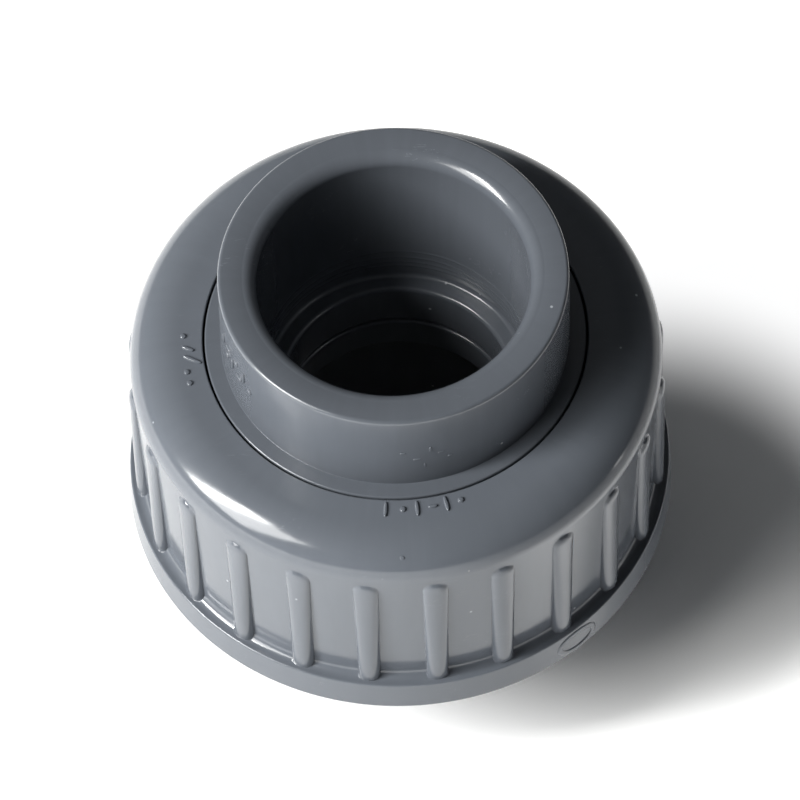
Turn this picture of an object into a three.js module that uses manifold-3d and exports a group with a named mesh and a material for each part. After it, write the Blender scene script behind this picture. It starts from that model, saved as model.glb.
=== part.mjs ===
// Pipe union, plain-socket type for 25 mm (3/4 inch) plastic pipe: an upper
// end connector, a ribbed union nut, a lower threaded body and its O-ring.
// Millimetres, +Z up. The origin is the centre of the lower socket's end face,
// and the common axis of all four pieces is Z.
import * as THREE from "three";
import { mergeVertices } from "three/addons/utils/BufferGeometryUtils.js";
import Module from "manifold-3d";

const wasm = await Module();
wasm.setup();

// ---------------------------------------------------------------- dimensions
const SEGMENTS = 48; // facets round every turned surface

// heights on the axis
const TOP_Z = 48.5; // upper socket's end face
const NUT_TOP_Z = 38.0; // nut's flat top
const NUT_BOTTOM_Z = 13.35;
const RIM_TOP_Z = 17.0; // top of the nut's rim
const LIP_Z = 31.5; // underside of the nut's lip
const FLANGE_TOP_Z = 31.2;
const FLANGE_BOTTOM_Z = 23.8; // connector's sealing face
const BODY_TOP_Z = 23.3; // threaded body's end face
const UPPER_LEDGE_Z = 29.0; // pipe stop in the upper socket
const LOWER_LEDGE_Z = 19.5; // pipe stop in the lower socket

// radii
const TUBE_R = 16.2; // outside of both sockets
const SOCKET_MOUTH_R = 12.6; // 25 mm pipe, with its cement gap
const SOCKET_ROOT_R = 12.47;
const BORE_R = 10.7; // waterway past the pipe stops
const LEAD_R = 14.0; // outer edge of the rounded socket mouths
const COLLAR_R = 17.65; // connector's collar, in the nut's hole
const NUT_HOLE_R = 17.95;
const FLANGE_R = 19.2;
const SHOULDER_R = 24.8; // foot of the nut's rounded shoulder, above its wall panels
// radius of curvature of the shoulder's section at its foot, at 45 degrees and at the flat top
const SHOULDER_CURVE = [2.6, 3.35, 7.0];
const PANEL_FOOT_R = 24.2; // panels between the ribs slope in to here
const PANEL_FILLET = 0.9; // where the panels meet the rim
const RIM_R = 25.7;

// grip ribs
const RIBS = 24;
const RIB_TOP_R = 25.06; // crest radius at the head
const RIB_FOOT_R = 25.05; // crest radius at the rim
const RIB_TOP_HALF = 1.2; // half widths
const RIB_FOOT_HALF = 1.08;
const RIB_HEAD_Z = 32.45; // the rounded head starts here
const RIB_HEAD_H = 1.3; // and ends this much higher
const RIB_ROUND = 2.3; // exponent of the ribs' rounded section

// G 1 1/4 parallel pipe thread, 55 degree flanks, right hand
const PITCH = 2.309;
const PITCH_R = 20.216;
const FLANK = Math.tan(THREE.MathUtils.degToRad(27.5));
const TOOTH_HALF = 0.507; // half a tooth at the pitch radius, 0.07 under nominal
const MALE_ROOT_R = 19.35;
const MALE_CREST_R = 20.8;
const FEMALE_ROOT_R = 21.1;
const FEMALE_CREST_R = 19.62;
const THREAD_Z = 12.9; // height of the male tooth's centre line at its start
const MALE_TURNS = 3.9;
const FEMALE_START = 23 / 48; // turn at which the nut's tooth starts
const FEMALE_TURNS = 4.2;

// O-ring 28.17 x 3.53, squeezed to 3.0 mm, and its groove
const RING_MEAN_R = 15.85;
const RING_HALF_H = 1.5;
const RING_HALF_W = 1.95;
const GROOVE_IN_R = 13.75;
const GROOVE_OUT_R = 17.95;
const GROOVE_FLOOR_Z = 20.7;
const RING_Z = GROOVE_FLOOR_Z + 0.05 + RING_HALF_H;

// ------------------------------------------------------------------- helpers
function solid(geometry) {
  const g = geometry.clone();
  for (const name of Object.keys(g.attributes))
    if (name !== "position") g.deleteAttribute(name);
  const m = mergeVertices(g, 1e-4);
  const vertProperties = new Float32Array(m.attributes.position.array);
  let triVerts = new Uint32Array(m.index.array);
  const keep = [];
  for (let i = 0; i < triVerts.length; i += 3) {
    const [a, b, c] = [triVerts[i], triVerts[i + 1], triVerts[i + 2]];
    if (a !== b && b !== c && c !== a) keep.push(a, b, c);
  }
  triVerts = new Uint32Array(keep);
  if (signedVolume(vertProperties, triVerts) < 0)
    for (let i = 0; i < triVerts.length; i += 3)
      [triVerts[i + 1], triVerts[i + 2]] = [triVerts[i + 2], triVerts[i + 1]];
  return new wasm.Manifold(new wasm.Mesh({ numProp: 3, vertProperties, triVerts }));
}

function signedVolume(v, t) {
  const a = new THREE.Vector3();
  const b = new THREE.Vector3();
  const c = new THREE.Vector3();
  let sum = 0;
  for (let i = 0; i < t.length; i += 3) {
    a.fromArray(v, 3 * t[i]);
    b.fromArray(v, 3 * t[i + 1]);
    c.fromArray(v, 3 * t[i + 2]);
    sum += a.dot(b.cross(c));
  }
  return sum / 6;
}

function geometryOf(manifold) {
  const mesh = manifold.getMesh();
  const g = new THREE.BufferGeometry();
  g.setAttribute("position", new THREE.BufferAttribute(new Float32Array(mesh.vertProperties), 3));
  g.setIndex(new THREE.BufferAttribute(new Uint32Array(mesh.triVerts), 1));
  const flat = g.toNonIndexed();
  flat.computeVertexNormals();
  return flat;
}

// A closed profile of [radius, height] pairs, turned round Z.
function turned(profile) {
  const points = [...profile, profile[0]].map(([r, z]) => new THREE.Vector2(r, z));
  return solid(new THREE.LatheGeometry(points, SEGMENTS).rotateX(Math.PI / 2));
}

// Points on an arc about [r, z] from angle a0 to a1 in degrees, 0 pointing out
// and 90 pointing up, with radii rr along the radius and rz along the height.
function arc(r, z, rr, rz, a0, a1, steps) {
  const out = [];
  for (let i = 0; i <= steps; i++) {
    const a = THREE.MathUtils.degToRad(a0 + ((a1 - a0) * i) / steps);
    out.push([r + rr * Math.cos(a), z + rz * Math.sin(a)]);
  }
  return out;
}

// A closed skin over rings of equal point counts, with flat end caps.
function lofted(rings) {
  const n = rings[0].length;
  const position = rings.flat(2);
  const index = [];
  for (let k = 0; k + 1 < rings.length; k++)
    for (let i = 0; i < n; i++) {
      const j = (i + 1) % n;
      const a = k * n + i;
      const b = k * n + j;
      index.push(a, b, b + n, a, b + n, a + n);
    }
  const last = (rings.length - 1) * n;
  for (let i = 1; i + 1 < n; i++) {
    index.push(0, i + 1, i);
    index.push(last, last + i, last + i + 1);
  }
  const g = new THREE.BufferGeometry();
  g.setAttribute("position", new THREE.Float32BufferAttribute(position, 3));
  g.setIndex(index);
  return solid(g);
}

// One helical tooth. Its centre line is at height z0 + PITCH * turns, from the
// turn start on. It stands on rootR (sunk by the amount sink) and reaches
// crestR, and fades at its ends.
function thread(z0, start, turns, rootR, crestR, sink) {
  const steps = Math.round(turns * SEGMENTS);
  const fade = SEGMENTS / 12;
  const inward = crestR < rootR;
  const half = (r) => TOOTH_HALF + (inward ? r - PITCH_R : PITCH_R - r) * FLANK;
  const sunkR = rootR + (inward ? sink : -sink);
  const rings = [];
  for (let k = 0; k <= steps; k++) {
    const grow = Math.min(1, (k + 0.35) / fade, (steps - k + 0.35) / fade);
    const crest = rootR + (crestR - rootR) * grow;
    const turn = start + k / SEGMENTS;
    const angle = 2 * Math.PI * turn;
    const z = z0 + PITCH * turn;
    const ring = [
      [sunkR, -half(rootR)],
      [rootR, -half(rootR)],
      [crest, -half(crestR) - (1 - grow) * 0.5 * (half(rootR) - half(crestR))],
      [crest, half(crestR) + (1 - grow) * 0.5 * (half(rootR) - half(crestR))],
      [rootR, half(rootR)],
      [sunkR, half(rootR)],
    ];
    rings.push(ring.map(([r, dz]) => [r * Math.cos(angle), r * Math.sin(angle), z + dz]));
  }
  return lofted(rings);
}

// The shoulder's section as [radius, height] points, from its foot to the flat top.
function shoulder(steps) {
  const fine = 30;
  const n = steps * fine;
  const all = [[SHOULDER_R, 0]];
  for (let i = 0; i < n; i++) {
    const a = ((i + 0.5) / n) * (Math.PI / 2);
    const k = (a / (Math.PI / 4)) % 1;
    const [c0, c1] = a < Math.PI / 4 ? SHOULDER_CURVE : SHOULDER_CURVE.slice(1);
    const d = ((c0 + (c1 - c0) * k) * (Math.PI / 2)) / n;
    const [r, z] = all[i];
    all.push([r - d * Math.sin(a), z + d * Math.cos(a)]);
  }
  const up = NUT_TOP_Z - all[n][1];
  return all.filter((_, i) => i % fine === 0).map(([r, z]) => [r, z + up]);
}
const SHOULDER = shoulder(10);

// The nut's outer radius between the ribs, at height z below the shoulder.
function panelR(z) {
  const from = SHOULDER[0][1];
  const foot = RIM_TOP_Z + PANEL_FILLET;
  return PANEL_FOOT_R + ((SHOULDER_R - PANEL_FOOT_R) * (z - foot)) / (from - foot);
}

// One grip rib along Z, on the +X side: a bar of rounded section that stands on
// the nut's wall, with a domed head, and ends on the rim.
function rib() {
  const inner = 22.9;
  const section = (z, u) => {
    const down = Math.min(1, Math.max(0, (RIB_HEAD_Z - z) / (RIB_HEAD_Z - RIM_TOP_Z)));
    const w = (RIB_TOP_HALF + (RIB_FOOT_HALF - RIB_TOP_HALF) * down) * Math.sqrt(1 - u * u);
    const crest = RIB_TOP_R + (RIB_FOOT_R - RIB_TOP_R) * down;
    const base = panelR(z) - 0.06;
    const h = (crest - base) * (1 - u ** RIB_ROUND) ** (1 / RIB_ROUND);
    const ring = [[inner, -w, z]];
    for (let i = 0; i <= 8; i++) {
      const a = -Math.PI / 2 + (Math.PI * i) / 8;
      const c = Math.max(0, Math.cos(a)) ** (2 / RIB_ROUND);
      const s = Math.sign(Math.sin(a)) * Math.abs(Math.sin(a)) ** (2 / RIB_ROUND);
      ring.push([base + h * c, w * s, z]);
    }
    ring.push([inner, w, z]);
    return ring;
  };
  const rings = [RIM_TOP_Z - 0.6, RIB_HEAD_Z].map((z) => section(z, 0));
  for (const u of [0.4, 0.7, 0.9, 0.985]) rings.push(section(RIB_HEAD_Z + RIB_HEAD_H * u, u));
  return lofted(rings);
}

function add(group, name, manifold, color, roughness) {
  const mesh = new THREE.Mesh(
    geometryOf(manifold),
    new THREE.MeshStandardMaterial({ color, roughness, metalness: 0 }),
  );
  mesh.name = name;
  group.add(mesh);
  return mesh;
}

// ------------------------------------------------------------- threaded body
// Lower socket, a cone out to the threaded barrel, and the grooved end face.
const bodyBlank = turned([
  [BORE_R, LOWER_LEDGE_Z],
  [SOCKET_ROOT_R, LOWER_LEDGE_Z],
  [SOCKET_MOUTH_R, 1.2],
  ...arc(LEAD_R, 1.2, SOCKET_MOUTH_R - LEAD_R, -1.2, 0, 90, 3).slice(1),
  [TUBE_R - 0.35, 0],
  [TUBE_R, 0.35],
  [TUBE_R, 8.2],
  [MALE_ROOT_R - 0.5, 10.9],
  [MALE_ROOT_R, 11.6],
  [MALE_ROOT_R, BODY_TOP_Z - 0.5],
  [MALE_ROOT_R - 0.5, BODY_TOP_Z],
  [GROOVE_OUT_R, BODY_TOP_Z],
  [GROOVE_OUT_R, GROOVE_FLOOR_Z],
  [GROOVE_IN_R, GROOVE_FLOOR_Z],
  [GROOVE_IN_R, BODY_TOP_Z],
  [BORE_R + 0.3, BODY_TOP_Z],
  [BORE_R, BODY_TOP_Z - 0.3],
]);
const threadedBody = bodyBlank.add(
  thread(THREAD_Z, 0, MALE_TURNS, MALE_ROOT_R, MALE_CREST_R, 0.4),
);

// ------------------------------------------------------------------- O-ring
const ringProfile = [];
for (let i = 0; i < 14; i++) {
  const a = (2 * Math.PI * (i + 0.5)) / 14;
  const c = Math.cos(a);
  const s = Math.sin(a);
  const k = (Math.abs(c) ** 2.6 + Math.abs(s) ** 2.6) ** (-1 / 2.6);
  ringProfile.push([RING_MEAN_R + RING_HALF_W * k * c, RING_Z + RING_HALF_H * k * s]);
}
const ringHigh = Math.max(...ringProfile.map((p) => p[1])) - RING_Z;
const oRing = turned(ringProfile.map(([r, z]) => [r, RING_Z + ((z - RING_Z) * RING_HALF_H) / ringHigh]));

// ------------------------------------------------------------ end connector
const endConnector = turned([
  [BORE_R, FLANGE_BOTTOM_Z + 0.3],
  [BORE_R + 0.3, FLANGE_BOTTOM_Z],
  [FLANGE_R - 0.4, FLANGE_BOTTOM_Z],
  [FLANGE_R, FLANGE_BOTTOM_Z + 0.4],
  [FLANGE_R, FLANGE_TOP_Z - 0.3],
  [FLANGE_R - 0.3, FLANGE_TOP_Z],
  [COLLAR_R, FLANGE_TOP_Z],
  [COLLAR_R, NUT_TOP_Z - 0.25],
  [COLLAR_R - 0.25, NUT_TOP_Z],
  [TUBE_R, NUT_TOP_Z],
  [TUBE_R, TOP_Z - 0.35],
  [TUBE_R - 0.35, TOP_Z],
  ...arc(LEAD_R, TOP_Z - 1.3, SOCKET_MOUTH_R - LEAD_R, 1.3, 90, 0, 3),
  [SOCKET_ROOT_R, UPPER_LEDGE_Z],
  [BORE_R + 0.4, UPPER_LEDGE_Z],
  [BORE_R, UPPER_LEDGE_Z - 0.4],
]);

// ---------------------------------------------------------------- union nut
const nutBlank = turned([
  [NUT_HOLE_R, LIP_Z],
  [FEMALE_CREST_R + 0.13, LIP_Z],
  [FEMALE_CREST_R + 0.13, 26.9],
  [FEMALE_ROOT_R, 26.0],
  [FEMALE_ROOT_R, NUT_BOTTOM_Z + 0.8],
  [FEMALE_ROOT_R + 0.8, NUT_BOTTOM_Z],
  [RIM_R - 0.3, NUT_BOTTOM_Z],
  [RIM_R, NUT_BOTTOM_Z + 0.3],
  [RIM_R - 0.2, RIM_TOP_Z - 0.35],
  [RIM_R - 0.55, RIM_TOP_Z],
  ...arc(PANEL_FOOT_R + PANEL_FILLET, RIM_TOP_Z + PANEL_FILLET, PANEL_FILLET, PANEL_FILLET, 270, 180, 3),
  ...SHOULDER,
  [NUT_HOLE_R + 0.25, NUT_TOP_Z],
  [NUT_HOLE_R, NUT_TOP_Z - 0.25],
]);
const ribSolid = rib();
const ribs = [];
for (let i = 0; i < RIBS; i++) ribs.push(ribSolid.rotate([0, 0, (360 * (i + 0.5)) / RIBS]));
// The nut's tooth lies half a pitch off the body's, in the space between turns.
const unionNut = wasm.Manifold.union([
  nutBlank,
  ...ribs,
  thread(THREAD_Z + PITCH / 2, FEMALE_START, FEMALE_TURNS, FEMALE_ROOT_R, FEMALE_CREST_R, 0.4),
]);

// ------------------------------------------------------------------ assembly
const union = new THREE.Group();
union.name = "pipe_union";
const lower = new THREE.Group();
lower.name = "lower_half";
const upper = new THREE.Group();
upper.name = "upper_half";
add(lower, "threaded_body", threadedBody, 0x5f646d, 0.38);
add(lower, "o_ring", oRing, 0x141414, 0.7);
add(upper, "end_connector", endConnector, 0x5f646d, 0.38);
add(upper, "union_nut", unionNut, 0x5f646d, 0.35);
union.add(lower, upper);

export default union;
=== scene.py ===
import math

import bmesh
import bpy
import numpy as np
from mathutils import Matrix, Vector


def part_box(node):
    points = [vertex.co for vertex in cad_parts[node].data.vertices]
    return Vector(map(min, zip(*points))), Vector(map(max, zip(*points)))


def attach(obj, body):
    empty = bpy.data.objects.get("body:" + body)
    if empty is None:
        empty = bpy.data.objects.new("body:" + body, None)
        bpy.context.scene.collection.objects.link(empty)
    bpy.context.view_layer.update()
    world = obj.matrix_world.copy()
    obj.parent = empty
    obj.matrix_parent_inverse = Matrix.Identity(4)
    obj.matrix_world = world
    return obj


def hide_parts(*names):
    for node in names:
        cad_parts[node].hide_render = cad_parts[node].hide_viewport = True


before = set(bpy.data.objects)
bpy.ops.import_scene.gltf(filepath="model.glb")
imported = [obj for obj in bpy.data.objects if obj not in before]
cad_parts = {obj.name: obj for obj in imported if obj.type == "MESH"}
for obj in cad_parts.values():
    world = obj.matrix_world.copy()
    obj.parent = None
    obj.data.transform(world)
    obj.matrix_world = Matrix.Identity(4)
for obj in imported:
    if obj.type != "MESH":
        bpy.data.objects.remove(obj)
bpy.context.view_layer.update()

MM = 0.001
scene = bpy.context.scene

# ------------------------------------------------------------ levels and radii
# Everything hangs on the boxes of the four CAD nodes, in millimetres.


def box_mm(node):
    lo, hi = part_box(node)
    return [c / MM for c in lo], [c / MM for c in hi]


nut_lo, nut_hi = box_mm("union_nut")
end_lo, end_hi = box_mm("end_connector")
body_lo, body_hi = box_mm("threaded_body")
ring_lo, ring_hi = box_mm("o_ring")

TOP = end_hi[2]  # 48.5 upper socket's end face
NUT_TOP = nut_hi[2]  # 38.0
NUT_BOT = nut_lo[2]  # 13.35
FACE = end_lo[2]  # 23.8 connector's sealing face
BODY_TOP = body_hi[2]  # 23.3
BASE = body_lo[2]  # 0
RIM_R = nut_hi[0]  # 25.7
TUBE_R = RIM_R - 9.5  # 16.2
RIM_TOP = NUT_BOT + 3.65  # 17.0
LIP = NUT_TOP - 6.5  # 31.5
FLANGE_TOP = FACE + 7.4  # 31.2
LEDGE = TOP - 19.5  # 29.0
LOW_LEDGE = BASE + 19.5
BORE_R = 10.7
ROOT_R, MOUTH_R, LEAD_R = 12.47, 12.6, 14.0
COLLAR_R, HOLE_R, FLANGE_R = 17.72, 17.92, end_hi[0]
SHOULDER_R, PANEL_R, PANEL_FILLET = 24.8, 24.2, 0.9
PITCH, PITCH_R, FLANK = 2.309, 20.216, math.tan(math.radians(27.5))
TOOTH = 0.507
MALE_ROOT, MALE_CREST = 19.35, 20.8
FEM_ROOT, FEM_CREST = 21.1, 19.62
THREAD_Z = BASE + 12.9


# ------------------------------------------------------------------- mesh code
class Skin:
    """Vertices and faces of one piece, in millimetres."""

    def __init__(self):
        self.v, self.f = [], []

    def ring(self, points):
        start = len(self.v)
        self.v.extend([tuple(map(float, p)) for p in points])
        return list(range(start, len(self.v)))

    def bridge(self, a, b):
        n = len(a)
        for i in range(n):
            j = (i + 1) % n
            self.f.append((a[i], a[j], b[j], b[i]))

    def stitch(self, a, b):
        """Joins two rings of different counts, both in order of angle."""
        def ang(ids):
            return [math.atan2(self.v[i][1], self.v[i][0]) % (2 * math.pi) for i in ids]

        ta, tb = ang(a), ang(b)
        a = a[ta.index(min(ta)):] + a[: ta.index(min(ta))]
        b = b[tb.index(min(tb)):] + b[: tb.index(min(tb))]
        ta, tb = sorted(ta) + [min(ta) + 2 * math.pi], sorted(tb) + [min(tb) + 2 * math.pi]
        i = j = 0
        while i < len(a) or j < len(b):
            take_a = j >= len(b) or (i < len(a) and ta[i + 1] <= tb[j + 1])
            if take_a:
                self.f.append((a[i], a[(i + 1) % len(a)], b[j % len(b)]))
                i += 1
            else:
                self.f.append((a[i % len(a)], b[(j + 1) % len(b)], b[j]))
                j += 1

    def helix(self, theta, z_lo, z_hi, base, rows, radius):
        """A threaded wall from z_lo to z_hi. rows are heights within one pitch from the tooth's centre line,
        radius(dz, turn) is the radius there. Returns the ring at z_lo and the ring at z_hi."""
        n, m = len(theta), len(rows)
        first = int(math.floor((z_lo - base) / PITCH)) - 2
        last = int(math.ceil((z_hi - base) / PITCH)) + 2
        table = []
        lo_ring, hi_ring = [], []
        for t in theta:
            plain_lo = radius(None, 0)
            lo = self.ring([(plain_lo * math.cos(t), plain_lo * math.sin(t), z_lo)])[0]
            hi = self.ring([(plain_lo * math.cos(t), plain_lo * math.sin(t), z_hi)])[0]
            lo_ring.append(lo)
            hi_ring.append(hi)
            col = []
            for turn in range(first, last + 1):
                for dz in rows:
                    z = base + PITCH * (turn + t / (2 * math.pi)) + dz
                    if z <= z_lo + 0.02:
                        col.append(lo)
                    elif z >= z_hi - 0.02:
                        col.append(hi)
                    else:
                        r = radius(dz, turn + t / (2 * math.pi))
                        col.append(self.ring([(r * math.cos(t), r * math.sin(t), z)])[0])
            table.append(col)
        for j in range(n):
            here = table[j]
            there = table[j + 1] if j + 1 < n else table[0][m:] + [hi_ring[0]] * m
            for k in range(len(here) - 1):
                quad = []
                for i in (here[k], there[k], there[k + 1], here[k + 1]):
                    if i not in quad:
                        quad.append(i)
                if len(quad) > 2:
                    self.f.append(tuple(quad))
        return lo_ring, hi_ring

    def shell(self, rings, low=None, high=None):
        """A closed lump: rings of equal count, closed by a point at each end."""
        ids = [self.ring(r) for r in rings]
        for a, b in zip(ids, ids[1:]):
            self.bridge(a, b)
        for end, point in ((ids[0], low), (ids[-1], high)):
            c = self.ring([point])[0]
            n = len(end)
            for i in range(n):
                self.f.append((end[i], end[(i + 1) % n], c))

    def piece(self, name, sharp=42):
        mesh = bpy.data.meshes.new(name)
        mesh.from_pydata([(x * MM, y * MM, z * MM) for x, y, z in self.v], [], self.f)
        bm = bmesh.new()
        bm.from_mesh(mesh)
        loose = [v for v in bm.verts if not v.link_faces]
        bmesh.ops.delete(bm, geom=loose, context="VERTS")
        bmesh.ops.recalc_face_normals(bm, faces=bm.faces)
        open_edges = sum(1 for e in bm.edges if len(e.link_faces) != 2)
        bm.to_mesh(mesh)
        bm.free()
        mesh.update()
        mesh.shade_smooth()
        mesh.set_sharp_from_angle(angle=math.radians(sharp))
        ob = bpy.data.objects.new(name, mesh)
        scene.collection.objects.link(ob)
        print(name, len(mesh.vertices), "vertices", sum(len(p.vertices) - 2 for p in mesh.polygons),
              "triangles", open_edges, "open edges")
        return ob


def path(corners, closed=False, step=9.0, sup=0.07):
    """Turns corners (r, z, rounding) into points, with an arc at each corner and one support point
    beside each arc. A corner with rounding None is a plain point."""
    out, n = [], len(corners)
    for i, c in enumerate(corners):
        p = np.array(c[:2], float)
        rad = c[2] if len(c) > 2 else None
        if rad is None or (not closed and i in (0, n - 1)):
            out.append(tuple(p))
            continue
        a = np.array(corners[i - 1][:2], float)
        b = np.array(corners[(i + 1) % n][:2], float)
        u, w = a - p, b - p
        la, lb = np.linalg.norm(u), np.linalg.norm(w)
        u, w = u / la, w / lb
        half = math.acos(max(-1, min(1, float(u @ w)))) / 2
        reach = min(rad / math.tan(half), 0.45 * la, 0.45 * lb)
        r = reach * math.tan(half)
        centre = p + (u + w) / np.linalg.norm(u + w) * (r / math.sin(half))
        s0, s1 = p + u * reach, p + w * reach
        if la - reach > 3 * sup:
            out.append(tuple(p + u * (reach + sup)))
        a0 = math.atan2(*(s0 - centre)[::-1])
        a1 = math.atan2(*(s1 - centre)[::-1])
        d = (a1 - a0 + math.pi) % (2 * math.pi) - math.pi
        k = max(3, int(math.ceil(abs(math.degrees(d)) / step)))
        for j in range(k + 1):
            t = a0 + d * j / k
            out.append((centre[0] + r * math.cos(t), centre[1] + r * math.sin(t)))
        if lb - reach > 3 * sup:
            out.append(tuple(p + w * (reach + sup)))
    return out


def ell(r, z, rr, rz, a0, a1, steps):
    """Plain points on an arc with radii rr and rz; 0 points out, 90 up."""
    out = []
    for i in range(steps + 1):
        a = math.radians(a0 + (a1 - a0) * i / steps)
        out.append((r + rr * math.cos(a), z + rz * math.sin(a)))
    return out


def turn_ring(skin, r, z, theta):
    return skin.ring([(r * math.cos(t), r * math.sin(t), z) for t in theta])


def lathe(skin, points, theta, closed=True):
    ids = [turn_ring(skin, r, z, theta) for r, z in points]
    for a, b in zip(ids, ids[1:] + ([ids[0]] if closed else [])):
        skin.bridge(a, b)
    return ids


def evenly(n):
    return [2 * math.pi * i / n for i in range(n)]


def az(a):
    """Angle round the axis from the front (-Y), positive to the right, as an angle from +X."""
    return math.radians(a) - math.pi / 2


def lump(skin, place, long_half, wide_half, height, sunk=0.12, square=3.0, n=24, dome=0.3):
    """A raised mark with rounded edges. place(s, t, h) gives the point s along, t across and h above a surface."""
    def outline(scale, h, inset):
        pts = []
        for i in range(n):
            a = 2 * math.pi * i / n
            c, s = math.cos(a), math.sin(a)
            k = (abs(c) ** square + abs(s) ** square) ** (-1 / square)
            pts.append(place(k * c * max(long_half - inset, 0.02) * scale,
                             k * s * max(wide_half - inset, 0.02) * scale, h))
        return pts

    w = min(long_half, wide_half)
    rings = [outline(1, -sunk, -0.02), outline(1, height * 0.15, 0)]
    for k in (0.25, 0.5, 0.75, 1.0):
        a = k * math.pi / 2
        rings.append(outline(1, height * (0.35 + 0.65 * math.sin(a)), w * dome * (1 - math.cos(a))))
    skin.shell(rings, low=place(0, 0, -sunk), high=place(0, 0, height))


def on_wall(r, a, z):
    """Maps (along, up, out) onto a cylinder of radius r, about azimuth a and height z."""
    def place(s, t, h):
        ang = az(a) + s / r
        return ((r + h) * math.cos(ang), (r + h) * math.sin(ang), z + t)
    return place


def on_top(r, a, z, tilt=0.0):
    """Maps (along the circle, outwards, up) onto a flat ring face, turned by tilt degrees about its own centre."""
    c, s_ = math.cos(math.radians(tilt)), math.sin(math.radians(tilt))

    def place(s, t, h):
        s, t = s * c - t * s_, s * s_ + t * c
        ang = az(a) + s / r
        return ((r + t) * math.cos(ang), (r + t) * math.sin(ang), z + h)
    return place


# ------------------------------------------------------------------- union nut
RIBS = 24
RIB_TOP_R, RIB_FOOT_R = 25.16, 25.08
RIB_TOP_W, RIB_FOOT_W = 1.2, 1.08
HEAD, HEAD_H = NUT_TOP - 5.5, 1.2  # the ribs' domed heads start here, and their height
RIB_ROUND = 2.3  # exponent of the ribs' rounded section
RIB_REF = 24.6  # radius at which the ribs' widths are laid out


def rib_w(z):
    k = min(1, max(0, (HEAD - z) / (HEAD - RIM_TOP)))
    return RIB_TOP_W + (RIB_FOOT_W - RIB_TOP_W) * k


def shoulder_curve():
    """The rounded shoulder from its foot to the flat top, as (normal's tilt, r, z). Its radius of curvature
    is 2.6 mm at the foot, 3.35 at 45 degrees and 7.0 at the top. It starts a little past the vertical, so
    that it runs into the leaning panels without a crease."""
    step = 0.25
    out, r, z = [], 0.0, 0.0
    a = -2.0
    while a < 90 - 1e-6:
        out.append((a, r, z))
        m = a + step / 2
        rho = float(np.interp(m, [0, 45, 90], [2.6, 3.35, 7.0]))
        r -= rho * math.sin(math.radians(m)) * math.radians(step)
        z += rho * math.cos(math.radians(m)) * math.radians(step)
        a += step
    out.append((90.0, r, z))
    dr = SHOULDER_R - min(out, key=lambda p: abs(p[0]))[1]
    dz = NUT_TOP - z
    return [(a, r + dr, z + dz) for a, r, z in out]


CURVE = shoulder_curve()
CURVE_Z = [p[2] for p in CURVE]
CURVE_R = [p[1] for p in CURVE]
CURVE_A = [p[0] for p in CURVE]


def wall_r(z):
    """The nut's outer radius between the ribs."""
    if z > CURVE_Z[0]:
        return float(np.interp(z, CURVE_Z, CURVE_R))
    foot = RIM_TOP + PANEL_FILLET
    return PANEL_R + (CURVE_R[0] - PANEL_R) * (z - foot) / (CURVE_Z[0] - foot)


def rib_r(y, z):
    """Radius of a rib's surface at y mm from its centre line, or a low value off it."""
    w = rib_w(z)
    k = min(1, max(0, (HEAD - z) / (HEAD - RIM_TOP)))
    crest = RIB_TOP_R + (RIB_FOOT_R - RIB_TOP_R) * k
    base = wall_r(z) - 0.05
    u = max(0.0, (z - HEAD) / HEAD_H)
    f = 1 - (abs(y) / w) ** RIB_ROUND - u ** RIB_ROUND
    if f <= 0:
        return base + 2.0 * max(f, -1.0)
    return base + (crest - base) * f ** (1 / RIB_ROUND)


def smax(a, b, k):
    h = max(0.0, k - abs(a - b)) / k
    return max(a, b) + h * h * k * 0.25


HALF = math.pi / RIBS
rib_steps = [0, 15, 30, 45, 58, 70, 80, 87, 90]
offsets = [0.05, 0.15, 0.32]


def columns(z):
    """Angles round the nut at height z: they follow the ribs' sides."""
    w = rib_w(min(z, HEAD)) if z > RIM_TOP else RIB_FOOT_W
    half_pitch = HALF * RIB_REF
    ys = [w * math.sin(math.radians(a)) for a in rib_steps] + [w + d for d in offsets]
    left = half_pitch - ys[-1]
    ys += [ys[-1] + left * k for k in (0.3, 0.65)]
    mid = half_pitch
    one = [-y for y in reversed(ys[1:])] + ys + [mid]
    angles = []
    for i in range(RIBS):
        centre = 2 * HALF * (i + 0.5)
        angles += [centre + y / RIB_REF for y in one]
    return angles, one


def nut_profile():
    """The nut's outer profile from its hole's edge to its underside, as (r, z) points."""
    hole = [(HOLE_R, NUT_TOP - 1.2), (HOLE_R, NUT_TOP - 0.2)]
    edge = ell(HOLE_R + 0.13, NUT_TOP - 0.13, 0.13, 0.13, 180, 90, 5)
    top = [(HOLE_R + 0.2, NUT_TOP), (19.2, NUT_TOP), (CURVE_R[-1] - 0.25, NUT_TOP)]
    shoulder = []
    for i in range(31):
        a = 90 - 3.0 * i
        shoulder.append((float(np.interp(a, CURVE_A, CURVE_R)), float(np.interp(a, CURVE_A, CURVE_Z))))
    shoulder.append((CURVE_R[0], CURVE_Z[0]))
    # rows close together where the ribs' heads rise out of the wall
    heads = []
    z = CURVE_Z[0] - 0.13
    while z > HEAD - 0.6:
        heads.append((wall_r(z), z))
        z -= 0.13
    panel = []
    foot = RIM_TOP + PANEL_FILLET
    z0 = heads[-1][1] - 0.25
    for k in range(11):
        z = z0 + (foot + 0.1 - z0) * k / 10
        panel.append((wall_r(z), z))
    fillet = ell(PANEL_R + PANEL_FILLET, foot, PANEL_FILLET, PANEL_FILLET, 180, 270, 9)
    rim = path([(PANEL_R + PANEL_FILLET, RIM_TOP), (25.5, RIM_TOP, 0.42), (RIM_R, NUT_BOT, 0.35), (24.0, NUT_BOT)],
               step=12)[1:]
    return hole + edge + top + shoulder + heads + panel + fillet, rim + [(23.0, NUT_BOT)]


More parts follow.
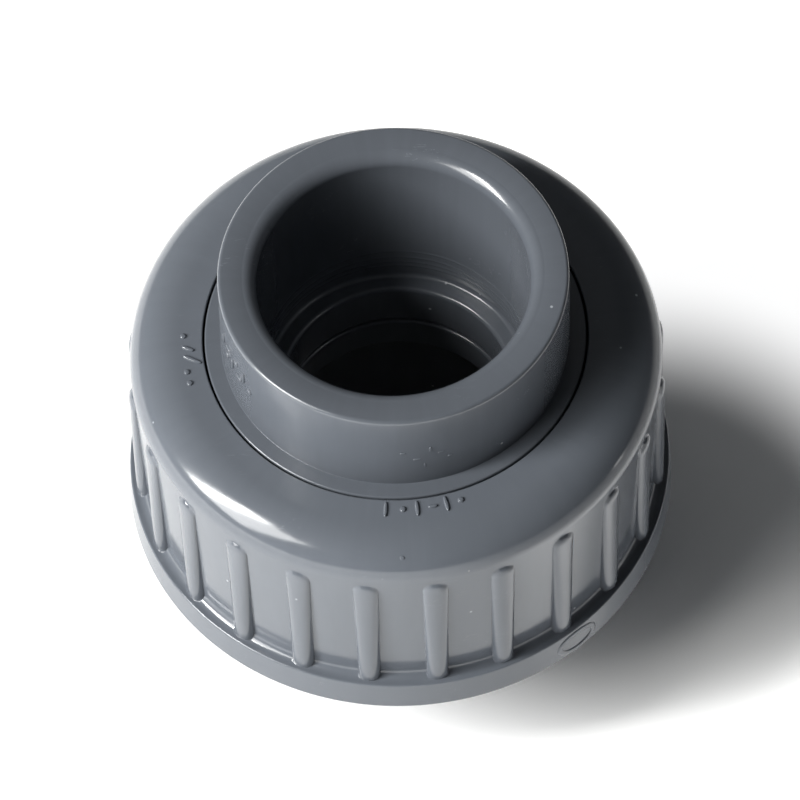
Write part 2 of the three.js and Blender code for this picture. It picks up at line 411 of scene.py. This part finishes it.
def build_nut():
    skin = Skin()
    outer, rim = nut_profile()
    rings = []
    for r, z in outer + rim:
        angles, one = columns(z)
        pts = []
        ribbed = RIM_TOP - 0.01 <= z < CURVE_Z[0] + 0.01 and r < 25.11
        rows = []
        for y in one:
            rr = r
            if ribbed:
                rr = smax(r, rib_r(y, max(z, RIM_TOP)), 0.10)
            rows.append(rr)
        for i, t in enumerate(angles):
            rr = rows[i % len(one)]
            pts.append((rr * math.cos(t), rr * math.sin(t), z))
        rings.append(skin.ring(pts))
    for a, b in zip(rings, rings[1:]):
        skin.bridge(a, b)

    theta = evenly(192)
    fade = 1 / 9

    def half(r):
        return TOOTH + (r - PITCH_R) * FLANK

    foot, tip = half(FEM_ROOT), half(FEM_CREST)
    rows = [-foot - 0.05, -foot + 0.07, -tip - 0.07, -tip + 0.06, tip - 0.06, tip + 0.07, foot - 0.07, foot + 0.05]
    start, turns = 23 / 48, 4.2

    def radius(dz, turn):
        if dz is None:
            return FEM_ROOT
        grow = max(0.0, min(1.0, (turn - start) / fade, (start + turns - turn) / fade))
        d = abs(dz)
        if d >= foot:
            r = FEM_ROOT
        elif d <= tip:
            r = FEM_CREST
        else:
            r = FEM_ROOT + (FEM_CREST - FEM_ROOT) * (foot - d) / (foot - tip)
            if d < tip + 0.08:
                r += 0.02
        return FEM_ROOT + (r - FEM_ROOT) * (grow * grow * (3 - 2 * grow))

    lo, hi = skin.helix(theta, NUT_BOT + 0.85, NUT_BOT + 12.6, THREAD_Z + PITCH / 2, rows, radius)
    low = lathe(skin, path([(22.6, NUT_BOT), (FEM_ROOT + 0.8, NUT_BOT, 0.12), (FEM_ROOT + 0.02, NUT_BOT + 0.8)]), theta, closed=False)
    skin.bridge(low[-1], lo)
    high = lathe(skin, path([(FEM_ROOT, NUT_BOT + 12.7), (FEM_CREST + 0.13, NUT_BOT + 13.6, 0.2), (FEM_CREST + 0.13, LIP, 0.25),
                             (HOLE_R, LIP, 0.15), (HOLE_R, NUT_TOP - 1.8)]), theta, closed=False)
    skin.bridge(hi, high[0])
    skin.stitch(low[0], rings[-1])
    skin.stitch(high[-1], rings[0])

    # raised marks on the flat top: plain tally bars and pips that say nothing
    z = NUT_TOP
    for a, kind in ((-3.6, "bar"), (1.2, "pip"), (5.2, "bar"), (9.6, "dash"), (13.4, "bar"), (17.6, "pip")):
        if kind == "bar":
            lump(skin, on_top(19.0, a, z), 0.2, 0.8, 0.19, square=2.4, dome=0.75)
        elif kind == "dash":
            lump(skin, on_top(19.0, a, z), 0.45, 0.19, 0.19, square=2.4, dome=0.75)
        else:
            lump(skin, on_top(19.0, a, z), 0.3, 0.3, 0.19, square=2, dome=0.7)
    for a, rr, half, tilt in ((-91.0, 19.7, 0, 0), (-86.9, 19.3, 0.6, 28), (-83.2, 19.0, 0.95, 33), (-79.5, 19.7, 0, 0), (-75.9, 19.7, 0, 0)):
        if half:
            lump(skin, on_top(rr, a, z, tilt), 0.2, half, 0.2, square=2.4, dome=0.75)
        else:
            lump(skin, on_top(rr, a, z), 0.28, 0.28, 0.2, square=2, dome=0.7)
    # a moulding nub on the shoulder, straight in front
    def nub(s, t, h):
        k = 52 + math.degrees(t / 4.0)
        rr = float(np.interp(k, CURVE_A, CURVE_R)) + h * math.cos(math.radians(k))
        zz = float(np.interp(k, CURVE_A, CURVE_Z)) + h * math.sin(math.radians(k))
        ang = az(0.6) + s / rr
        return (rr * math.cos(ang), rr * math.sin(ang), zz)
    lump(skin, nub, 0.22, 0.2, 0.07, square=2, n=16)

    # the gate vestige on the rim: a low oval ring with a flat middle
    rings = []
    n, m = 56, 12
    zc = (RIM_TOP + NUT_BOT) / 2 - 0.05
    tilt = math.atan2(RIM_R - 25.5, RIM_TOP - NUT_BOT)
    for i in range(n):
        t = 2 * math.pi * i / n
        s, v = 2.05 * math.cos(t), 1.2 * math.sin(t)
        nx, nv = math.cos(t) * 1.2, math.sin(t) * 2.05
        ln = math.hypot(nx, nv)
        nx, nv = nx / ln, nv / ln
        pts = []
        for j in range(m):
            b = 2 * math.pi * j / m
            o, h = 0.34 * math.cos(b), 0.14 * math.sin(b) - 0.01
            ss, vv = s + nx * o, v + nv * o
            rr = (RIM_R + 25.5) / 2 - vv * math.tan(tilt) + h
            ang = az(39.5) + ss / rr
            pts.append((rr * math.cos(ang), rr * math.sin(ang), zc + vv))
        rings.append(skin.ring(pts))
    for a_, b_ in zip(rings, rings[1:] + [rings[0]]):
        skin.bridge(a_, b_)
    return skin.piece("nut_moulding")


# --------------------------------------------------------------- end connector
def build_connector():
    skin = Skin()
    theta = evenly(256)
    # from the bore's lower edge out along the sealing face, up the outside and down the socket
    outside = path([
        (BORE_R, FACE, 0.3), (FLANGE_R, FACE, 0.4), (FLANGE_R, FLANGE_TOP, 0.3), (COLLAR_R, FLANGE_TOP, 0.12),
        (COLLAR_R, NUT_TOP, 0.17), (TUBE_R, NUT_TOP, 0.04), (TUBE_R, TOP, 0.34), (LEAD_R + 0.0, TOP, None),
    ][:8] + [], step=10)
    # the first corner is rounded so that the loop can close in the bore
    start = ell(BORE_R + 0.3, FACE + 0.3, 0.3, 0.3, 180, 270, 6)
    mouth = [(LEAD_R + 0.06, TOP)] + ell(LEAD_R, TOP - 1.3, MOUTH_R - LEAD_R, 1.3 - 0.02, 90, 0, 16)[0:]
    mouth = [(r, z) for r, z in mouth]
    # the socket wall, with the fine rings that its core left above the pipe stop
    wall = []
    z = mouth[-1][1]
    for dz in (0.12, 1.0, 4.0, 8.0, 11.0, 13.0):
        k = dz / (z - LEDGE)
        wall.append((MOUTH_R + (ROOT_R - MOUTH_R) * k, z - dz))
    rings_z = [LEDGE + 3.9, LEDGE + 2.9, LEDGE + 2.15, LEDGE + 1.5]
    for g in rings_z:
        k = (z - g) / (z - LEDGE)
        r = MOUTH_R + (ROOT_R - MOUTH_R) * k
        for d, dr in ((0.24, 0), (0.14, -0.004), (0.06, -0.035), (0.0, -0.05), (-0.06, -0.035), (-0.14, -0.004), (-0.24, 0)):
            wall.append((r + dr, g + d))
    low = path([(ROOT_R, LEDGE + 1.0), (ROOT_R, LEDGE, 0.55), (BORE_R, LEDGE, 0.42), (BORE_R, FACE + 0.62)], step=8)
    points = start[:-1] + outside[1:-1] + mouth + wall + low
    lathe(skin, points, theta)

    # raised marks on the collar's wall, low on the left: plain bars and pips
    r = TUBE_R
    for a, zz, kind in ((-75.5, 44.6, "bar"), (-71.6, 43.3, "pip"), (-70.2, 45.0, "dash"), (-67.2, 43.6, "bar"), (-64.0, 44.9, "pip"),
                        (-62.2, 43.2, "dash"), (-59.4, 44.2, "bar"), (-56.0, 43.1, "pip")):
        zz = zz - 38.0 + NUT_TOP
        if kind == "bar":
            lump(skin, on_wall(r, a, zz), 0.2, 0.75, 0.16, square=2.4, dome=0.75)
        elif kind == "dash":
            lump(skin, on_wall(r, a, zz), 0.45, 0.19, 0.16, square=2.4, dome=0.75)
        else:
            lump(skin, on_wall(r, a, zz), 0.32, 0.32, 0.16, square=2, dome=0.7)
    for a, zz, hl, hw in ((2.0, 43.2, 0.3, 0.12), (6.5, 42.0, 0.35, 0.12), (11.0, 43.4, 0.14, 0.4), (14.5, 42.6, 0.3, 0.1), (9.0, 40.8, 0.12, 0.3), (17.5, 41.6, 0.25, 0.1)):
        lump(skin, on_wall(r, a, zz - 38.0 + NUT_TOP), hl, hw, 0.07)
    return skin.piece("connector_moulding")


# --------------------------------------------------------------- threaded body
def build_body():
    skin = Skin()
    theta = evenly(192)
    fade = 1 / 9

    def half(r):
        return TOOTH + (PITCH_R - r) * FLANK

    foot, tip = half(MALE_ROOT), half(MALE_CREST)
    rows = [-foot - 0.05, -foot + 0.07, -tip - 0.07, -tip + 0.06, tip - 0.06, tip + 0.07, foot - 0.07, foot + 0.05]

    def radius(dz, turn):
        if dz is None:
            return MALE_ROOT
        grow = max(0.0, min(1.0, turn / fade, (3.9 - turn) / fade))
        d = abs(dz)
        if d >= foot:
            r = MALE_ROOT
        elif d <= tip:
            r = MALE_CREST
        else:
            r = MALE_ROOT + (MALE_CREST - MALE_ROOT) * (foot - d) / (foot - tip)
            if d < tip + 0.08:
                r -= 0.02
        return MALE_ROOT + (r - MALE_ROOT) * (grow * grow * (3 - 2 * grow))

    lo, hi = skin.helix(theta, BASE + 11.75, BODY_TOP - 0.45, THREAD_Z, rows, radius)
    top = path([(MALE_ROOT, BODY_TOP - 0.4), (MALE_ROOT - 0.45, BODY_TOP, 0.12), (17.95, BODY_TOP, 0.12), (17.95, BODY_TOP - 2.6, 0.3),
                (13.75, BODY_TOP - 2.6, 0.3), (13.75, BODY_TOP, 0.12), (BORE_R, BODY_TOP, 0.3), (BORE_R, LOW_LEDGE, 0.4),
                (ROOT_R, LOW_LEDGE, 0.5), (MOUTH_R, BASE + 1.4)], step=12)
    mouth = ell(LEAD_R, BASE + 1.3, MOUTH_R - LEAD_R, -1.28, 0, 90, 14) + [(LEAD_R + 0.06, BASE)]
    out = path([(LEAD_R + 0.2, BASE), (TUBE_R, BASE, 0.34), (TUBE_R, BASE + 8.2, 0.6), (MALE_ROOT, BASE + 11.0, 0.6), (MALE_ROOT, BASE + 11.7)],
               step=10)
    ids = lathe(skin, top + mouth + out, theta, closed=False)
    skin.bridge(hi, ids[0])
    skin.bridge(ids[-1], lo)
    return skin.piece("body_moulding")


# ---------------------------------------------------------------------- O-ring
def build_ring():
    skin = Skin()
    theta = evenly(192)
    mid_r = (ring_hi[0] + 13.9) / 2
    half_w = ring_hi[0] - mid_r
    zc, half_h = (ring_lo[2] + ring_hi[2]) / 2, (ring_hi[2] - ring_lo[2]) / 2
    pts = []
    n = 40
    for i in range(n):
        a = 2 * math.pi * i / n
        c, s = math.cos(a), math.sin(a)
        k = (abs(c) ** 2.5 + abs(s) ** 2.5) ** (-1 / 2.5)
        # the mould's parting line stands a hair proud on the inside and outside
        line = 0.03 if min(abs(a), abs(a - math.pi), abs(a - 2 * math.pi)) < 0.05 else 0
        pts.append((mid_r + (half_w - 0.03 + line) * k * c, zc + (half_h - 0.01) * k * s))
    lathe(skin, pts, theta)
    return skin.piece("ring_moulding")


# ------------------------------------------------------------------- materials
def material(name):
    m = bpy.data.materials.new(name)
    m.use_nodes = True
    t = m.node_tree
    t.nodes.clear()
    out = t.nodes.new("ShaderNodeOutputMaterial")
    bsdf = t.nodes.new("ShaderNodeBsdfPrincipled")
    t.links.new(bsdf.outputs["BSDF"], out.inputs["Surface"])
    coord = t.nodes.new("ShaderNodeTexCoord")
    return m, t, bsdf, coord


def noise(t, vector, scale, detail=3.0, rough=0.5, distortion=0.0):
    n = t.nodes.new("ShaderNodeTexNoise")
    n.inputs["Scale"].default_value = scale
    n.inputs["Detail"].default_value = detail
    n.inputs["Roughness"].default_value = rough
    n.inputs["Distortion"].default_value = distortion
    t.links.new(vector, n.inputs["Vector"])
    return n.outputs["Fac"]


def ramp(t, value, stops):
    """stops are (position, grey) pairs."""
    n = t.nodes.new("ShaderNodeValToRGB")
    e = n.color_ramp.elements
    e[0].position, e[0].color = stops[0][0], (stops[0][1],) * 3 + (1,)
    e[1].position, e[1].color = stops[-1][0], (stops[-1][1],) * 3 + (1,)
    for p, g in stops[1:-1]:
        x = e.new(p)
        x.color = (g, g, g, 1)
    t.links.new(value, n.inputs["Fac"])
    return n.outputs["Color"]


def math_node(t, op, a, b=None, clamp=False):
    n = t.nodes.new("ShaderNodeMath")
    n.operation = op
    n.use_clamp = clamp
    for i, x in enumerate((a, b)):
        if x is None:
            continue
        if isinstance(x, (int, float)):
            n.inputs[i].default_value = x
        else:
            t.links.new(x, n.inputs[i])
    return n.outputs["Value"]


def mix_colour(t, fac, a, b):
    n = t.nodes.new("ShaderNodeMix")
    n.data_type = "RGBA"
    for sock, x in ((n.inputs[0], fac), (n.inputs[6], a), (n.inputs[7], b)):
        if isinstance(x, (int, float)):
            sock.default_value = x
        elif isinstance(x, tuple):
            sock.default_value = x
        else:
            t.links.new(x, sock)
    return n.outputs[2]


def stretched(t, coord, scale):
    n = t.nodes.new("ShaderNodeMapping")
    n.inputs["Scale"].default_value = scale
    t.links.new(coord, n.inputs["Vector"])
    return n.outputs["Vector"]


def cylindrical(t, coord):
    """Object coordinates as (angle, height, radius), for marks that run round or along the axis."""
    sep = t.nodes.new("ShaderNodeSeparateXYZ")
    t.links.new(coord, sep.inputs[0])
    ang = math_node(t, "ARCTAN2", sep.outputs[1], sep.outputs[0])
    xx = math_node(t, "MULTIPLY", sep.outputs[0], sep.outputs[0])
    yy = math_node(t, "MULTIPLY", sep.outputs[1], sep.outputs[1])
    rad = math_node(t, "SQRT", math_node(t, "ADD", xx, yy))
    n = t.nodes.new("ShaderNodeCombineXYZ")
    t.links.new(math_node(t, "MULTIPLY", ang, 0.018), n.inputs[0])
    t.links.new(sep.outputs[2], n.inputs[1])
    t.links.new(rad, n.inputs[2])
    return n.outputs[0], rad, sep.outputs[2]


def pvc(name, base, dark, rough, rings=0.25, dust=1.0, fine=0.30):
    """Moulded rigid PVC: a smooth satin gloss with faint flow marks, fine rings, mould grain, hairline rubs and dust."""
    m, t, bsdf, coord = material(name)
    obj = coord.outputs["Object"]
    cyl, rad, height = cylindrical(t, obj)
    # colour: slow pigment drift and faint flow streaks along the axis
    drift = ramp(t, noise(t, obj, 60, 2, 0.5), [(0.3, 0.0), (0.7, 1.0)])
    streak = ramp(t, noise(t, stretched(t, cyl, (1.0, 0.12, 0.12)), 900, 3, 0.6, 0.3), [(0.38, 0.0), (0.72, 1.0)])
    body_mix = math_node(t, "ADD", math_node(t, "MULTIPLY", drift, 0.55), math_node(t, "MULTIPLY", streak, 0.45))
    colour = mix_colour(t, body_mix, dark, base)
    # pale hairline rubs, only here and there
    hair = noise(t, stretched(t, obj, (0.16, 1.0, 1.0)), 2600, 2, 0.5, 1.2)
    hair = ramp(t, hair, [(0.655, 0.0), (0.675, 1.0), (0.70, 0.0)])
    patch = ramp(t, noise(t, obj, 190, 2, 0.5), [(0.56, 0.0), (0.68, 1.0)])
    rub = math_node(t, "MULTIPLY", hair, patch)
    # dust: sparse round specks
    vor = t.nodes.new("ShaderNodeTexVoronoi")
    vor.inputs["Scale"].default_value = 620
    vor.inputs["Randomness"].default_value = 1.0
    t.links.new(obj, vor.inputs["Vector"])
    near = ramp(t, vor.outputs["Distance"], [(0.05, 1.0), (0.10, 0.0)])
    sep = t.nodes.new("ShaderNodeSeparateColor")
    t.links.new(vor.outputs["Color"], sep.inputs[0])
    few = ramp(t, sep.outputs[0], [(0.955 - 0.02 * dust, 0.0), (0.965 - 0.02 * dust, 1.0)])
    speck = math_node(t, "MULTIPLY", near, few)
    pale = (0.42, 0.45, 0.48, 1)
    colour = mix_colour(t, math_node(t, "MULTIPLY", rub, 0.10), colour, pale)
    colour = mix_colour(t, math_node(t, "MULTIPLY", speck, 0.55), colour, pale)
    t.links.new(colour, bsdf.inputs["Base Color"])
    # roughness: slow patches, handling haze, rubs and dust
    haze = ramp(t, noise(t, obj, 240, 4, 0.6), [(0.3, 0.0), (0.75, 1.0)])
    r = math_node(t, "ADD", rough - 0.025, math_node(t, "MULTIPLY", haze, 0.06))
    r = math_node(t, "ADD", r, math_node(t, "MULTIPLY", rub, 0.10))
    r = math_node(t, "ADD", r, math_node(t, "MULTIPLY", speck, 0.3), clamp=True)
    t.links.new(r, bsdf.inputs["Roughness"])
    # relief: mould grain, turning rings, and a slow waviness of the skin
    grain = noise(t, obj, 5200, 2, 0.6)
    wave = noise(t, obj, 210, 2, 0.5)
    ring = noise(t, stretched(t, cyl, (0.02, 1.0, 1.0)), 3200, 2, 0.6)
    height_mix = math_node(t, "ADD", math_node(t, "MULTIPLY", grain, fine), math_node(t, "MULTIPLY", ring, rings))
    bump = t.nodes.new("ShaderNodeBump")
    bump.inputs["Strength"].default_value = 0.10
    bump.inputs["Distance"].default_value = 0.00002
    t.links.new(height_mix, bump.inputs["Height"])
    slow = t.nodes.new("ShaderNodeBump")
    slow.inputs["Strength"].default_value = 0.35
    slow.inputs["Distance"].default_value = 0.00006
    t.links.new(wave, slow.inputs["Height"])
    t.links.new(bump.outputs["Normal"], slow.inputs["Normal"])
    t.links.new(slow.outputs["Normal"], bsdf.inputs["Normal"])
    bsdf.inputs["IOR"].default_value = 1.52
    bsdf.inputs["Specular IOR Level"].default_value = 0.5
    bsdf.inputs["Metallic"].default_value = 0.0
    return m


def rubber(name):
    m, t, bsdf, coord = material(name)
    obj = coord.outputs["Object"]
    bloom = ramp(t, noise(t, obj, 320, 4, 0.6), [(0.4, 0.0), (0.8, 1.0)])
    colour = mix_colour(t, bloom, (0.012, 0.012, 0.013, 1), (0.035, 0.035, 0.036, 1))
    t.links.new(colour, bsdf.inputs["Base Color"])
    r = math_node(t, "ADD", 0.52, math_node(t, "MULTIPLY", bloom, 0.22), clamp=True)
    t.links.new(r, bsdf.inputs["Roughness"])
    bump = t.nodes.new("ShaderNodeBump")
    bump.inputs["Strength"].default_value = 0.3
    bump.inputs["Distance"].default_value = 0.00003
    t.links.new(noise(t, obj, 4200, 3, 0.7), bump.inputs["Height"])
    t.links.new(bump.outputs["Normal"], bsdf.inputs["Normal"])
    bsdf.inputs["IOR"].default_value = 1.48
    return m




def shade(k):
    return (0.0865 * k, 0.0955 * k, 0.1105 * k, 1)


nut_mat = pvc("nut_pvc", shade(1.18), shade(1.08), 0.15, rings=0.10, dust=1.0)
end_mat = pvc("connector_pvc", shade(1.03), shade(0.94), 0.20, rings=0.12, dust=1.0, fine=0.04)
body_mat = pvc("body_pvc", shade(1.03), shade(0.94), 0.20, rings=0.4, dust=0.6)
ring_mat = rubber("seal_rubber")

for build, node, body, slot, mat in (
    (build_nut, "union_nut", "union_nut", "nut_pvc", nut_mat),
    (build_connector, "end_connector", "end_connector", "connector_pvc", end_mat),
    (build_body, "threaded_body", "threaded_body", "body_pvc", body_mat),
    (build_ring, "o_ring", "threaded_body", "seal_rubber", ring_mat),
):
    ob = build()
    ob.data.materials.append(mat)
    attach(ob, body)
    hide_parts(node)

# ----------------------------------------------------------------------- stage


def make_floor():
    bm = bmesh.new()
    bmesh.ops.create_grid(bm, x_segments=24, y_segments=24, size=2.2)
    mesh = bpy.data.meshes.new("floor")
    bm.to_mesh(mesh)
    bm.free()
    ob = bpy.data.objects.new("floor", mesh)
    scene.collection.objects.link(ob)
    ob.location.z = BASE * MM - 0.0001
    m, t, bsdf, coord = material("floor_white")
    bsdf.inputs["Base Color"].default_value = (0.96, 0.96, 0.96, 1)
    bsdf.inputs["Roughness"].default_value = 0.7
    bsdf.inputs["Specular IOR Level"].default_value = 0.2
    bsdf.inputs["Emission Color"].default_value = (1, 1, 1, 1)
    # painted light: the table glows a little away from the object, though it is no lamp: a glow on the lit side, a
    # wider glow far out, and a glow laid into the cast shadow on the right and back that fills it in
    obj = coord.outputs["Object"]

    def smooth(value, near, far, low=0.0, high=1.0):
        n = t.nodes.new("ShaderNodeMapRange")
        n.interpolation_type = "SMOOTHSTEP"
        for key, x in (("From Min", near), ("From Max", far), ("To Min", low), ("To Max", high)):
            n.inputs[key].default_value = x
        t.links.new(value, n.inputs["Value"])
        return n.outputs[0]

    def distance(x, y):
        n = t.nodes.new("ShaderNodeVectorMath")
        n.operation = "DISTANCE"
        n.inputs[1].default_value = (x, y, 0)
        t.links.new(obj, n.inputs[0])
        return n.outputs["Value"]

    along = t.nodes.new("ShaderNodeVectorMath")  # how far a point lies towards the shadow's side
    along.operation = "DOT_PRODUCT"
    along.inputs[1].default_value = (0.927, 0.375, 0)
    t.links.new(obj, along.inputs[0])
    s = along.outputs["Value"]
    r = distance(0, 0)
    # painted light: glow on the lit side, rising from 37 mm out
    lit_side_glow = math_node(t, "MULTIPLY", smooth(r, 0.037, 0.060, 0.0, 0.75), smooth(s, -0.02, 0.03, 1.0, 0.0))
    far = math_node(t, "MULTIPLY", smooth(r, 0.25, 1.0, 0.0, 0.7), smooth(s, 0.0, 0.6, 1.0, 0.5))
    # painted light: glow laid where the cast shadow falls, filling it in, kept dark right beside the nut's right side
    # and fading out past 85 mm
    shadow_fill_glow = math_node(t, "MULTIPLY", smooth(distance(0.022, -0.002), 0.017, 0.033, 0.0, 0.9), smooth(s, 0.005, 0.022))
    shadow_fill_glow = math_node(t, "MULTIPLY", shadow_fill_glow, smooth(r, 0.060, 0.085, 1.0, 0.0))
    painted_floor_glow = math_node(t, "ADD", math_node(t, "ADD", lit_side_glow, far), shadow_fill_glow)
    t.links.new(painted_floor_glow, bsdf.inputs["Emission Strength"])
    mesh.materials.append(m)
    return ob


make_floor()
AZ0 = 0.9  # the camera stands this many degrees right of the front

world = bpy.data.worlds.new("studio")
scene.world = world
world.use_nodes = True
wt = world.node_tree
wt.nodes.clear()
# a dim room, a little lighter on the window's side
wc = wt.nodes.new("ShaderNodeTexCoord")
wsep = wt.nodes.new("ShaderNodeSeparateXYZ")
wt.links.new(wc.outputs["Generated"], wsep.inputs[0])
wr = wt.nodes.new("ShaderNodeMapRange")
wr.inputs["From Min"].default_value = 0.3
wr.inputs["From Max"].default_value = -1.0
wr.inputs["To Min"].default_value = 0.05
wr.inputs["To Max"].default_value = 0.30
wt.links.new(wsep.outputs[0], wr.inputs["Value"])
bg = wt.nodes.new("ShaderNodeBackground")
bg.inputs["Color"].default_value = (0.95, 0.98, 1.0, 1)
wt.links.new(wr.outputs[0], bg.inputs["Strength"])
wo = wt.nodes.new("ShaderNodeOutputWorld")
wt.links.new(bg.outputs[0], wo.inputs["Surface"])

AIM = Vector((0, 0, (NUT_TOP - 4) * MM))


def softbox(name, azimuth, elevation, distance, width, height, level, roll=0.0, colour=(1, 1, 1), spread=180, shift=0.0):
    """level is the light's irradiance at the object, over pi. shift moves it along its own width."""
    data = bpy.data.lights.new(name, "AREA")
    data.shape = "RECTANGLE"
    data.size, data.size_y = width, height
    data.energy = level * math.pi ** 2 * distance ** 2
    data.color = colour
    data.spread = math.radians(spread)
    ob = bpy.data.objects.new(name, data)
    scene.collection.objects.link(ob)
    ob.visible_camera = False
    e, a = math.radians(elevation), az(azimuth)
    back = Vector((math.cos(a) * math.cos(e), math.sin(a) * math.cos(e), math.sin(e)))
    side = Vector((0, 0, 1)).cross(back).normalized()
    up = back.cross(side)
    k = math.radians(roll)
    x = side * math.cos(k) + up * math.sin(k)
    y = -side * math.sin(k) + up * math.cos(k)
    ob.matrix_world = Matrix.Translation(AIM + back * distance + x * shift) @ Matrix((x, y, back)).transposed().to_4x4()
    return ob


# one window, whose far half is the brighter
softbox("window_far", -68.5 + AZ0, 36.0, 0.9, 0.14, 0.585, 1.55, roll=-17, colour=(1.0, 1.0, 0.985), shift=-0.07)
softbox("window_near", -68.5 + AZ0, 36.0, 0.9, 0.30, 0.585, 0.80, roll=-17, colour=(1.0, 1.0, 0.985), shift=0.15)
softbox("lamp", 82, -2.0, 0.35, 0.024, 0.030, 0.010)

# ---------------------------------------------------------------------- camera
F_PX, EL, ROLL, DIST = 10000.0, 57.72, -2.10, 51.843 * 17.9 * MM
PAN_X, PAN_Y = 0.0131, -0.3747


def make_camera():
    e = math.radians(EL)
    back = Vector((0, -math.cos(e), math.sin(e)))
    fw = -back
    right = Vector((1, 0, 0))
    up = right.cross(fw)
    px, py = math.radians(PAN_X), math.radians(PAN_Y)
    fw2 = (fw * (math.cos(px) * math.cos(py)) + right * (math.sin(px) * math.cos(py)) + up * math.sin(py)).normalized()
    right2 = fw2.cross(up).normalized()
    up2 = right2.cross(fw2)
    r = math.radians(ROLL)
    right3 = right2 * math.cos(r) + up2 * math.sin(r)
    up3 = -right2 * math.sin(r) + up2 * math.cos(r)
    rot = Matrix((right3, up3, -fw2)).transposed()
    turn = Matrix.Rotation(math.radians(AZ0), 3, "Z")
    data = bpy.data.cameras.new("camera")
    data.sensor_width = 36
    data.lens = F_PX / 800 * 36
    data.clip_start, data.clip_end = 0.01, 20
    cam = bpy.data.objects.new("camera", data)
    scene.collection.objects.link(cam)
    cam.matrix_world = Matrix.Translation(Vector((0, 0, NUT_TOP * MM)) + turn @ (back * DIST)) @ (turn @ rot).to_4x4()
    scene.camera = cam


make_camera()
scene.view_settings.view_transform = "Standard"
scene.view_settings.look = "None"
